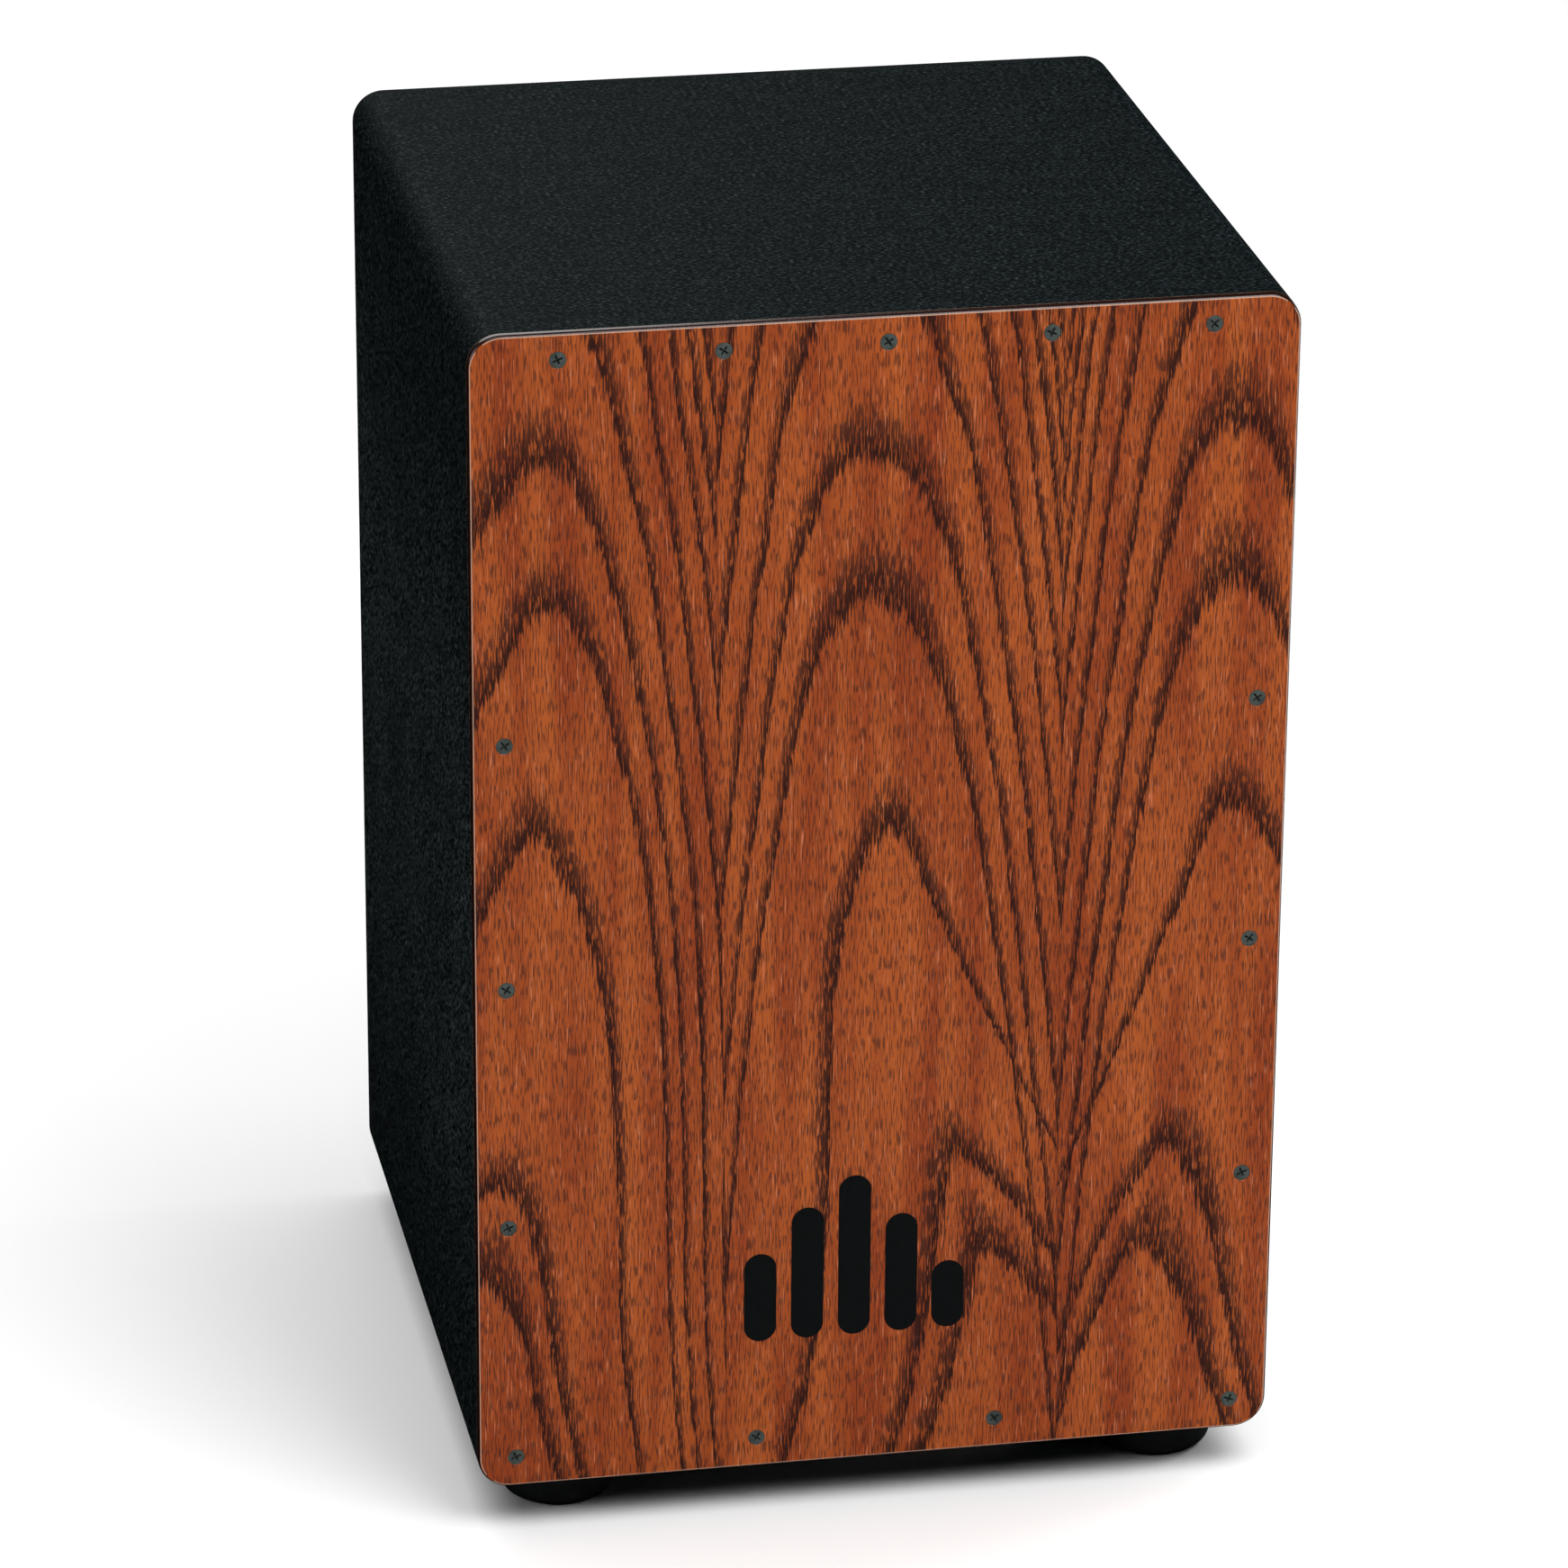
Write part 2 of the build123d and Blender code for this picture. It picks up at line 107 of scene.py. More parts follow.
# One row for each leaf, left to right: its centre line's place, how far the line drifts
# towards the foot, and its left and right flanks. A flank is a ring's drop at DROP_AT from the
# centre line, how much less each millimetre higher a ring drops, and the curve's power.
LOWER_LEAVES = (
    (-128.0, -28.0, (170.0, 0.0, 1.6), (165.0, 0.0, 1.78)),
    (2.0, 43.0, (145.0, 0.0, 1.19), (200.0, -0.6, 1.6)),
    (128.0, -36.0, (235.0, -0.15, 1.5), (115.0, 0.0, 1.5)),
)
UPPER_LEAVES = (
    (-123.5, -14.0, (85.0, 0.5, 1.6), (205.0, 0.2, 2.3)),
    (-4.0, 0.0, (200.0, 0.2, 2.4), (160.0, 0.1, 2.3)),
    (133.5, 0.0, (170.0, 0.05, 2.3), (150.0, 0.2, 1.6)),
)
DROP_AT = 50.0
# The centre lines start to drift at DRIFT_TOP and have drifted in full DRIFT_FALL below it.
DRIFT_TOP, DRIFT_FALL = 265.0, 230.0
# The lowest divisor of a height, which keeps far flanks from turning over.
LEAST_SHARE = 0.3


# ---------------------------------------------------------------- sizes and colours
class CajonVeneer(bpy.types.PropertyGroup):
    """The figure and colours of the front plate's stained ash."""

    seam_left: FloatProperty(
        name="Left seam", description="Middle of the seam between the left and middle leaves",
        default=-0.0592, unit="LENGTH")
    seam_right: FloatProperty(
        name="Right seam", description="Middle of the seam between the middle and right leaves",
        default=0.0662, unit="LENGTH")
    seam_lean: FloatProperty(
        name="Seam lean", description="How far a seam moves to the right from top to bottom",
        default=0.0060, unit="LENGTH")
    ring_fade: FloatProperty(
        name="Ring fade", description="Height over which a dark ring fades upwards",
        default=0.024, unit="LENGTH")
    pore_width: FloatProperty(
        name="Pore width", description="Width of one pore in the ash",
        default=0.00050, unit="LENGTH")
    pore_length: FloatProperty(
        name="Pore length", description="Length of one pore along the grain",
        default=0.0046, unit="LENGTH")
    light: FloatVectorProperty(
        name="Light wood", description="Stain on the palest wood",
        default=(0.440, 0.094, 0.016), size=3, subtype="COLOR")
    deep: FloatVectorProperty(
        name="Deep wood", description="Stain on the reddest wood",
        default=(0.300, 0.050, 0.0095), size=3, subtype="COLOR")
    # Painted highlight: pale dashes between the pores stand in for light caught by the lacquer.
    fibre_highlight: FloatVectorProperty(
        name="Bright fibres", description="Fibres between the pores that catch the light",
        default=(0.56, 0.165, 0.068), size=3, subtype="COLOR")
    pore: FloatVectorProperty(
        name="Pores", description="Stain that has gathered in the pores",
        default=(0.026, 0.006, 0.0045), size=3, subtype="COLOR")
    # Its colour in the screws' countersinks is painted shade round the heads.
    edge: FloatVectorProperty(
        name="Edge", description="Stain on the plywood's edge",
        default=(0.016, 0.0045, 0.0028), size=3, subtype="COLOR")
    # Painted highlight: the pale line stands in for the lights' glint on the eased arris.
    arris_highlight: FloatVectorProperty(
        name="Arris", description="Thin pale line where the face has been sanded into the edge",
        default=(0.52, 0.33, 0.24), size=3, subtype="COLOR")
    bare: FloatVectorProperty(
        name="Back of the plate", description="Bare wood on the back of the plate",
        default=(0.58, 0.40, 0.24), size=3, subtype="COLOR")


class CajonShell(bpy.types.PropertyGroup):
    """The black stained shell."""

    stain: FloatVectorProperty(
        name="Stain", description="Black stain in the hollows of the grain",
        default=(0.0012, 0.0026, 0.0030), size=3, subtype="COLOR")
    fleck: FloatVectorProperty(
        name="Fleck", description="Lighter flecks on the crowns of the grain",
        default=(0.085, 0.112, 0.118), size=3, subtype="COLOR")
    fleck_length: FloatProperty(
        name="Fleck length", description="Length of a fleck along the grain",
        default=0.0018, unit="LENGTH")
    fleck_width: FloatProperty(
        name="Fleck width", description="Width of a fleck across the grain",
        default=0.00055, unit="LENGTH")
    batten: FloatVectorProperty(
        name="Battens", description="Bare softwood of the battens",
        default=(0.60, 0.40, 0.22), size=3, subtype="COLOR")


class CajonMark(bpy.types.PropertyGroup):
    """The plain black mark printed low on the front plate: a row of round-ended bars."""

    middle_x: FloatProperty(
        name="Middle", description="Middle of the mark across the plate",
        default=-0.0088, unit="LENGTH")
    middle_z: FloatProperty(
        name="Height", description="Middle of the mark above the floor",
        default=0.1025, unit="LENGTH")
    bar_width: FloatProperty(
        name="Bar width", description="Width of one bar", default=0.0122, unit="LENGTH")
    bar_pitch: FloatProperty(
        name="Bar pitch", description="Distance from one bar to the next",
        default=0.0177, unit="LENGTH")
    tallest: FloatProperty(
        name="Tallest bar", description="Height of the tallest bar", default=0.065, unit="LENGTH")
    thickness: FloatProperty(
        name="Ink thickness", description="How far the ink stands off the lacquer",
        default=0.00008, unit="LENGTH")
    ink: FloatVectorProperty(
        name="Ink", description="Satin black ink",
        default=(0.0052, 0.0062, 0.0068), size=3, subtype="COLOR")


class CajonHardware(bpy.types.PropertyGroup):
    """Screws, feet and the snare tuner."""

    plate_recess: FloatProperty(
        name="Plate screw recess", description="Reach of one arm of a plate screw's cross recess",
        default=0.00215, unit="LENGTH")
    plate_recess_arm: FloatProperty(
        name="Recess arm", description="Half the width of an arm of the cross recess",
        default=0.00042, unit="LENGTH")
    plate_screw_sink: FloatProperty(
        name="Screw sink", description="How far a plate screw's head sits below the face",
        default=0.0001, unit="LENGTH")
    thread_pitch: FloatProperty(
        name="Wood thread pitch", description="Pitch of the wood screws",
        default=0.0014, unit="LENGTH")
    tuner_pitch: FloatProperty(
        name="Tuner pitch", description="Pitch of the tuner's screws",
        default=0.0008, unit="LENGTH")
    foot_rings: IntProperty(
        name="Grip rings", description="Grip rings moulded under a foot", default=3, min=0)
    gunmetal: FloatVectorProperty(
        name="Gunmetal", description="Plating of the plate screws",
        default=(0.095, 0.118, 0.108), size=3, subtype="COLOR")
    zinc: FloatVectorProperty(
        name="Zinc", description="Zinc plating", default=(0.62, 0.64, 0.66), size=3, subtype="COLOR")
    coating: FloatVectorProperty(
        name="Coating", description="Powder coating of the brackets",
        default=(0.016, 0.017, 0.018), size=3, subtype="COLOR")
    blackened: FloatVectorProperty(
        name="Blackened steel", description="Screws of the brackets",
        default=(0.06, 0.06, 0.065), size=3, subtype="COLOR")
    tension_steel: FloatVectorProperty(
        name="Tension screws", description="Oiled black steel of the tension screws",
        default=(0.07, 0.07, 0.075), size=3, subtype="COLOR")
    brass: FloatVectorProperty(
        name="Brass", description="Turned and milled brass",
        default=(0.75, 0.56, 0.25), size=3, subtype="COLOR")
    rubber: FloatVectorProperty(
        name="Rubber", description="Black rubber of the feet",
        default=(0.006, 0.0075, 0.0085), size=3, subtype="COLOR")


class CajonStudio(bpy.types.PropertyGroup):
    """The camera and the lights."""

    azimuth: FloatProperty(
        name="Azimuth", description="Where the camera stands round the drum, from the front",
        default=math.radians(-10.913), subtype="ANGLE")
    elevation: FloatProperty(
        name="Elevation", description="How high the camera looks down from",
        default=math.radians(22.222), subtype="ANGLE")
    roll: FloatProperty(
        name="Roll", description="Turn of the camera about its own axis",
        default=math.radians(0.384), subtype="ANGLE")
    distance: FloatProperty(
        name="Distance", description="From the middle of the box to the camera",
        default=2.8, unit="LENGTH")
    slide_x: FloatProperty(
        name="Slide across", description="Camera moved sideways from the middle of the box",
        default=-0.0075, unit="LENGTH")
    slide_y: FloatProperty(
        name="Slide up", description="Camera moved upwards from the middle of the box",
        default=-0.00404, unit="LENGTH")
    lens: FloatProperty(name="Lens", description="Focal length in millimetres", default=168.3)
    key_power: FloatProperty(
        name="Key", description="Power of the softbox in front", default=18.0, unit="POWER")
    top_power: FloatProperty(
        name="Top", description="Power of the softbox overhead", default=4.0, unit="POWER")
    rim_power: FloatProperty(
        name="Rim", description="Power of the strip light on the right", default=2.4, unit="POWER")
    side_power: FloatProperty(
        name="Side", description="Power of the softbox on the left", default=6.0, unit="POWER")
    sky_strength: FloatProperty(
        name="Sky", description="Even light from above", default=2.5)
    back_power: FloatProperty(
        name="Back", description="Power of the softbox behind", default=9.0, unit="POWER")
    floor: FloatVectorProperty(
        name="Floor", description="Colour of the floor",
        default=(1.0, 1.0, 1.0), size=3, subtype="COLOR")


# ---------------------------------------------------------------- materials
class Finish:
    """One material's nodes, built a socket at a time. Noise sizes are in millimetres."""

    def __init__(self, name, metallic=0.0, specular=0.5):
        self.material = bpy.data.materials.new(name)
        self.material.use_nodes = True
        self.tree = self.material.node_tree
        self.shader = self.tree.nodes["Principled BSDF"]
        self.shader.inputs["Metallic"].default_value = metallic
        self.shader.inputs["Specular IOR Level"].default_value = specular
        self.place = self.add("ShaderNodeTexCoord").outputs["Object"]
        split = self.add("ShaderNodeSeparateXYZ")
        self.feed(split.inputs[0], self.place)
        self.x, self.y, self.z = (self.math("DIVIDE", out, MM) for out in split.outputs)

    def add(self, kind, **settings):
        node = self.tree.nodes.new(kind)
        for name, value in settings.items():
            setattr(node, name, value)
        return node

    def feed(self, socket, value):
        if isinstance(value, bpy.types.NodeSocket):
            self.tree.links.new(value, socket)
        elif isinstance(socket.default_value, float):
            socket.default_value = value
        else:
            width = len(socket.default_value)
            socket.default_value = (tuple(value) + (1.0,))[:width]

    def math(self, operation, *values):
        node = self.add("ShaderNodeMath", operation=operation)
        for socket, value in zip(node.inputs, values):
            self.feed(socket, value)
        return node.outputs[0]

    def lerp(self, factor, low, high):
        """A number that goes from low to high as factor goes from 0 to 1."""
        span = self.math("SUBTRACT", high, low)
        return self.math("MULTIPLY_ADD", factor, span, low)

    def ease(self, value, low, high):
        """0 below low, 1 above high, and a smooth step between."""
        node = self.add("ShaderNodeMapRange", interpolation_type="SMOOTHSTEP")
        for name, number in (("Value", value), ("From Min", low), ("From Max", high)):
            self.feed(node.inputs[name], number)
        return node.outputs[0]

    def mix(self, factor, low, high):
        node = self.add("ShaderNodeMix", data_type="RGBA")
        for socket, value in zip((node.inputs[0], node.inputs[6], node.inputs[7]), (factor, low, high)):
            self.feed(socket, value)
        return node.outputs[2]

    def noise(self, size, detail=2.0, roughness=0.5, shift=0.0):
        """Noise whose grains measure size, in millimetres, along X, Y and Z."""
        mapping = self.add("ShaderNodeMapping")
        self.feed(mapping.inputs["Vector"], self.place)
        mapping.inputs["Location"].default_value = (shift, shift, shift)
        mapping.inputs["Scale"].default_value = [1 / (length * MM) for length in size]
        node = self.add("ShaderNodeTexNoise")
        self.feed(node.inputs["Vector"], mapping.outputs[0])
        node.inputs["Scale"].default_value = 1.0
        node.inputs["Detail"].default_value = detail
        node.inputs["Roughness"].default_value = roughness
        return node.outputs[0]

    def ramp(self, value, stops):
        """A straight-line ramp through (position, brightness) stops."""
        node = self.add("ShaderNodeValToRGB")
        elements = node.color_ramp.elements
        elements.remove(elements[1])
        elements[0].position = stops[0][0]
        elements[0].color = (stops[0][1],) * 3 + (1.0,)
        for position, brightness in stops[1:]:
            elements.new(position).color = (brightness,) * 3 + (1.0,)
        self.feed(node.inputs[0], value)
        return node.outputs[0]

    def colour(self, value):
        self.feed(self.shader.inputs["Base Color"], value)

    def roughness(self, value):
        self.feed(self.shader.inputs["Roughness"], value)

    def bump(self, height, depth):
        """Bump of that depth, in millimetres."""
        node = self.add("ShaderNodeBump")
        node.inputs["Distance"].default_value = depth * MM
        self.feed(node.inputs["Height"], height)
        self.tree.links.new(node.outputs[0], self.shader.inputs["Normal"])


def scaled(colour, share):
    """A colour made brighter or darker by that share."""
    return [channel * share for channel in colour]


def ring_bands(finish, height, rings, fade):
    """Dark rings over a height: sharp underneath, fading upwards. Heights are in millimetres."""
    rise = 0.06
    low, high = rings[0] - fade, rings[-1] + 2 * fade
    position = finish.math("DIVIDE", finish.math("SUBTRACT", height, low), high - low)
    stops = [(0.0, 0.0)]
    for ring in rings:
        for offset, dark in ((-rise, 0.0), (rise, 1.0), (1.0, 0.0)):
            stops.append(((ring + offset * fade - low) / (high - low), dark))
    return finish.ramp(position, stops)


def leaf_fields(finish, setup):
    """Heights of the lower and upper rings at a point, and how close the point is to a seam."""
    slope = setup.seam_lean / (PLATE_HIGH.z - PLATE_LOW.z)
    lean = finish.math("MULTIPLY", finish.math("SUBTRACT", PLATE_MIDDLE / MM, finish.z), slope)
    upright = finish.math("SUBTRACT", finish.x, lean)
    seams = [setup.seam_left / MM, setup.seam_right / MM]
    past = [finish.math("GREATER_THAN", upright, seam) for seam in seams]

    def pick(values):
        """The one of three values that belongs to the leaf that the point is on."""
        left, centre, right = values
        return finish.lerp(past[1], finish.lerp(past[0], left, centre), right)

    # A leaf's centre line drifts towards the foot; a ring drops away from it on both sides.
    low_down = finish.ease(finish.math("SUBTRACT", DRIFT_TOP, finish.z), 0.0, DRIFT_FALL)
    heights = []
    for leaves, reference in ((LOWER_LEAVES, LOWER_RINGS[2]), (UPPER_LEAVES, UPPER_RINGS[1])):
        places, drifts, left_flanks, right_flanks = zip(*leaves)
        centre = finish.math("MULTIPLY_ADD", low_down, pick(drifts), pick(places))
        across = finish.math("SUBTRACT", upright, centre)
        right_side = finish.math("GREATER_THAN", across, 0.0)
        drop, tightening, power = (
            finish.lerp(right_side, pick(left), pick(right))
            for left, right in zip(zip(*left_flanks), zip(*right_flanks)))
        reach = finish.math("DIVIDE", finish.math("ABSOLUTE", across), DROP_AT)
        away = finish.math("POWER", reach, power)
        whole_drop = finish.math("MULTIPLY_ADD", tightening, reference, drop)
        share = finish.math("MULTIPLY_ADD", away, tightening, 1.0)
        share = finish.math("MAXIMUM", share, LEAST_SHARE)
        raised = finish.math("MULTIPLY_ADD", away, whole_drop, finish.z)
        heights.append(finish.math("DIVIDE", raised, share))
    gaps = [finish.math("ABSOLUTE", finish.math("SUBTRACT", upright, seam)) for seam in seams]
    return heights, finish.math("MINIMUM", *gaps)


def growth_rings(finish, setup, heights):
    """How dark a growth ring is at a point. The rings wander, and each pore pulls them a little."""
    width, length = setup.pore_width / MM, setup.pore_length / MM
    pull = 0.0
    for size, reach, shift in (
        ((34, THROUGH, 90), 26.0, 0.0), ((5, THROUGH, 60), 7.0, 9.1),
        ((width * 1.5, THROUGH, length * 7.0), 20.0, 3.7),
    ):
        sway = finish.math("SUBTRACT", finish.noise(size, detail=1.0, shift=shift), 0.5)
        pull = finish.math("MULTIPLY_ADD", sway, reach, pull)
    fade = setup.ring_fade / MM
    low, high = (finish.math("ADD", height, pull) for height in heights)
    return finish.math(
        "MAXIMUM",
        ring_bands(finish, low, LOWER_RINGS, fade),
        ring_bands(finish, high, UPPER_RINGS, fade),
    )


def arris_highlight_share(finish, depth):
    """Share of the painted highlight round the plate: a thin pale line where its face is eased into its
    edge, standing in for the lights' glint.
    """
    rim_width = 3.0
    half_width = PLATE_HIGH.x / MM - rim_width
    half_height = (PLATE_HIGH.z - PLATE_LOW.z) / 2 / MM - rim_width
    from_middle = finish.math("ABSOLUTE", finish.math("SUBTRACT", finish.z, PLATE_MIDDLE / MM))
    rim = finish.math(
        "MAXIMUM",
        finish.math("GREATER_THAN", finish.math("ABSOLUTE", finish.x), half_width),
        finish.math("GREATER_THAN", from_middle, half_height),
    )
    behind_face = finish.ease(depth, 0.02, 0.07)
    before_edge = finish.math("SUBTRACT", 1.0, finish.ease(depth, 0.10, 0.22))
    return finish.math("MULTIPLY", finish.math("MULTIPLY", behind_face, before_edge), rim)


def stained_ash():
    """Three book-matched leaves of ash under clear lacquer: cathedral rings, pores and a dark edge."""
    setup = bpy.context.scene.cajon_veneer
    face_gloss, edge_gloss = 0.22, 0.9
    ring_stain, seam_stain = 0.26, 0.35
    finish = Finish("stained_ash", specular=face_gloss)
    heights, seam_gap = leaf_fields(finish, setup)
    bands = growth_rings(finish, setup, heights)
    width, length = setup.pore_width / MM, setup.pore_length / MM

    tone = finish.ease(finish.noise((14, THROUGH, 170), detail=3.0, shift=5.3), 0.32, 0.68)
    wood = finish.mix(tone, setup.light, setup.deep)
    # Pale dashes between the pores are painted highlight.
    fibre = finish.noise((width, THROUGH, length * 2.2), detail=1.0, shift=1.9)
    wood = finish.mix(finish.ease(fibre, 0.60, 0.78), wood, setup.fibre_highlight)

    # Pores are where a fine noise is high, and they crowd together and darken on a ring.
    fine = finish.noise((width, THROUGH, length * 1.4), detail=1.0, shift=6.4)
    threshold = finish.lerp(finish.math("POWER", bands, 0.5), 0.52, 0.37)
    pores = finish.ease(fine, threshold, finish.math("ADD", threshold, 0.06))
    wood = finish.mix(finish.math("MULTIPLY", bands, ring_stain), wood, setup.edge)
    strength = finish.lerp(bands, 0.62, 0.97)
    wood = finish.mix(finish.math("MULTIPLY", pores, strength), wood, setup.pore)
    seam = finish.math("SUBTRACT", 1.0, finish.ease(seam_gap, 0.05, 0.35))
    wood = finish.mix(finish.math("MULTIPLY", seam, seam_stain), wood, setup.pore)

    # Everything set back from the face takes the dark edge colour: real stain on the plywood's edge,
    # and painted shade in the screws' countersinks.
    depth = finish.math("SUBTRACT", finish.y, FACE_Y / MM)
    edge = finish.ease(depth, 0.10, 0.30)
    wood = finish.mix(edge, wood, setup.edge)
    # Painted highlight on the eased arris.
    wood = finish.mix(arris_highlight_share(finish, depth), wood, setup.arris_highlight)

    # The back of the plate is bare, with soft streaks along the grain.
    thickness = (PLATE_HIGH.y - FACE_Y) / MM
    back = finish.ease(depth, thickness - 0.10, thickness - 0.03)
    bare = finish.mix(tone, setup.bare, scaled(setup.bare, 0.8))
    finish.colour(finish.mix(back, wood, bare))
    polish = finish.lerp(edge, finish.lerp(pores, 0.26, 0.42), 0.22)
    finish.roughness(finish.lerp(back, polish, 0.7))
    gloss = finish.lerp(edge, face_gloss, edge_gloss)
    finish.feed(finish.shader.inputs["Specular IOR Level"], gloss)
    relief = finish.math("MULTIPLY", pores, finish.math("SUBTRACT", 1.0, edge))
    finish.bump(finish.math("SUBTRACT", 1.0, relief), 0.03)
    return finish.material


def black_shell(name, along):
    """Black stained ply. along gives the grain's direction: 0 is X, 2 is Z."""
    setup = bpy.context.scene.cajon_shell
    finish = Finish(name, specular=0.025)
    length, width = setup.fleck_length / MM, setup.fleck_width / MM
    size, long_size = [width] * 3, [width * 2.5] * 3
    size[along], long_size[along] = length, length * 9
    flecks = finish.noise(size, detail=1.0)
    streaks = finish.noise(long_size, detail=2.0, shift=4.2)
    level = finish.math("MULTIPLY_ADD", finish.math("SUBTRACT", streaks, 0.5), 0.15, flecks)
    crown = finish.ease(level, 0.50, 0.82)

    # The flecks are brighter in patches round the middle of the height and dimmer towards the top and
    # the bottom.
    full_share_within, no_share_beyond = 40.0, 210.0
    middle = (CAD_BOX[0][2] + CAD_BOX[1][2]) / 2 / MM
    away = finish.math("ABSOLUTE", finish.math("SUBTRACT", finish.z, middle))
    mid_height_share = finish.math("SUBTRACT", 1.0, finish.ease(away, full_share_within, no_share_beyond))
    mid_height_share = finish.math("MULTIPLY", mid_height_share, finish.noise((70, 70, 90), detail=1.0, shift=8.5))
    shade = finish.math("MULTIPLY", crown, finish.lerp(mid_height_share, 0.55, 1.6))
    finish.colour(finish.mix(shade, setup.stain, setup.fleck))
    finish.roughness(finish.lerp(crown, 0.60, 0.75))
    finish.bump(level, 0.08)
    return finish.material


def bare_wood(name, along):
    """Planed softwood: growth lines and fine fibres that run along one axis."""
    finish = Finish(name, specular=0.3)
    base = bpy.context.scene.cajon_shell.batten
    ring_count = 6.0
    size, fine_size = [2.2] * 3, [0.3] * 3
    size[along], fine_size[along] = 160.0, 9.0
    growth = finish.math("MULTIPLY", finish.noise(size, detail=2.0), ring_count)
    rings = finish.ease(finish.math("PINGPONG", growth, 1.0), 0.55, 1.0)
    fibre = finish.noise(fine_size, detail=2.0, shift=2.6)
    dark = [channel * share for channel, share in zip(base, (0.62, 0.52, 0.42))]
    wood = finish.mix(fibre, base, scaled(base, 1.16))
    wood = finish.mix(finish.math("MULTIPLY", rings, 0.65), wood, dark)
    finish.colour(wood)
    finish.roughness(finish.lerp(fibre, 0.52, 0.72))
    finish.bump(fibre, 0.04)
    return finish.material


def plated_metal(name, colour, roughness, grain=(0.5, 0.5, 0.5), wear=0.4, metallic=1.0):
    """Plated or turned metal with fine marks and a little darker staining in places."""
    finish = Finish(name, metallic=metallic)
    marks = finish.noise(grain, detail=3.0)
    clouds = finish.noise((4, 4, 4), detail=2.0, shift=3.1)
    finish.colour(finish.mix(finish.ease(clouds, 0.35, 0.7), colour, scaled(colour, 1.0 - wear)))
    finish.roughness(finish.lerp(marks, roughness * 0.7, roughness * 1.3))
    finish.bump(marks, 0.01)
    return finish.material


def powder_coat(name, colour):
    """Black powder coating with its fine orange-peel skin."""
    finish = Finish(name, specular=0.4)
    peel = finish.noise((0.9, 0.9, 0.9), detail=2.0)
    dust = finish.noise((18, 18, 18), detail=3.0, shift=6.0)
    finish.colour(finish.mix(finish.ease(dust, 0.4, 0.8), colour, scaled(colour, 1.9)))
    finish.roughness(finish.lerp(peel, 0.34, 0.5))
    finish.bump(peel, 0.05)
    return finish.material


def moulded_rubber():
    """Matt moulded rubber, a little dusty."""
    colour = bpy.context.scene.cajon_hardware.rubber
    finish = Finish("black_rubber", specular=0.35)
    skin = finish.noise((0.7, 0.7, 0.7), detail=3.0)
    dust = finish.noise((9, 9, 9), detail=3.0, shift=2.2)
    finish.colour(finish.mix(finish.ease(dust, 0.5, 0.9), colour, scaled(colour, 2.4)))
    finish.roughness(finish.lerp(skin, 0.46, 0.66))
    finish.bump(skin, 0.06)
    return finish.material


def printed_ink():
    """Satin black ink that follows the pores under it."""
    veneer, mark = bpy.context.scene.cajon_veneer, bpy.context.scene.cajon_mark
    finish = Finish("printed_ink", specular=0.22)
    width, length = veneer.pore_width / MM, veneer.pore_length / MM
    pores = finish.noise((width, THROUGH, length), detail=2.0, roughness=0.6, shift=6.4)
    sunk, sunk_ink = finish.ease(pores, 0.60, 0.74), (0.0016, 0.0018, 0.002)
    finish.colour(finish.mix(sunk, mark.ink, sunk_ink))
    finish.roughness(finish.lerp(sunk, 0.36, 0.6))
    finish.bump(finish.math("SUBTRACT", 1.0, sunk), 0.03)
    return finish.material


def wound_string():
    """Steel wire wound round a core: ridges at a steady pitch along the string, with painted shade in
    the grooves between them.
    """
    finish = Finish("wound_string", metallic=1.0)
    half_pitch = 0.22
    steel, tarnish, groove_shade = (0.66, 0.66, 0.65), (0.30, 0.29, 0.27), (0.10, 0.10, 0.10)
    turn = finish.math("PINGPONG", finish.math("DIVIDE", finish.z, half_pitch), 1.0)
    grime = finish.noise((1.2, 1.2, 14), detail=2.0)
    bright = finish.mix(finish.ease(grime, 0.4, 0.8), steel, tarnish)
    # The grooves between the turns get painted shade.
    finish.colour(finish.mix(finish.ease(turn, 0.0, 0.5), groove_shade, bright))
    finish.roughness(finish.lerp(turn, 0.45, 0.2))
    finish.bump(turn, 0.06)
    return finish.material


def seamless_floor():
    """Pale matt studio floor."""
    colour = bpy.context.scene.cajon_studio.floor
    finish = Finish("studio_floor", specular=0.1)
    cloud = finish.noise((420, 420, 420), detail=2.0)
    finish.colour(finish.mix(cloud, colour, scaled(colour, 0.985)))
    finish.roughness(0.9)
    return finish.material


def dress(node, material):
    """Gives a carried-over CAD node its finish, in every slot that it has."""
    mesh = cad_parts[node].data
    for index in range(len(mesh.materials)):
        mesh.materials[index] = material
    if not mesh.materials:
        mesh.materials.append(material)


# ---------------------------------------------------------------- mesh helpers
def finished(name, bm, material, body, replaced=(), closed=True):
    """Turns a bmesh into a finished piece that rides on a body."""
    bmesh.ops.remove_doubles(bm, verts=bm.verts, dist=MERGE)
    bmesh.ops.recalc_face_normals(bm, faces=bm.faces)
    if closed and any(len(edge.link_faces) != 2 for edge in bm.edges):
        raise RuntimeError(f"{name} has an open edge")
    mesh = bpy.data.meshes.new(name)
    bm.to_mesh(mesh)
    bm.free()
    mesh.shade_smooth()
    mesh.set_sharp_from_angle(angle=SHARP_ANGLE)
    mesh.materials.append(material)
    piece = bpy.data.objects.new(name, mesh)
    bpy.context.scene.collection.objects.link(piece)
    if body:
        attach(piece, body)
    if replaced:
        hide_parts(*replaced)
    return piece


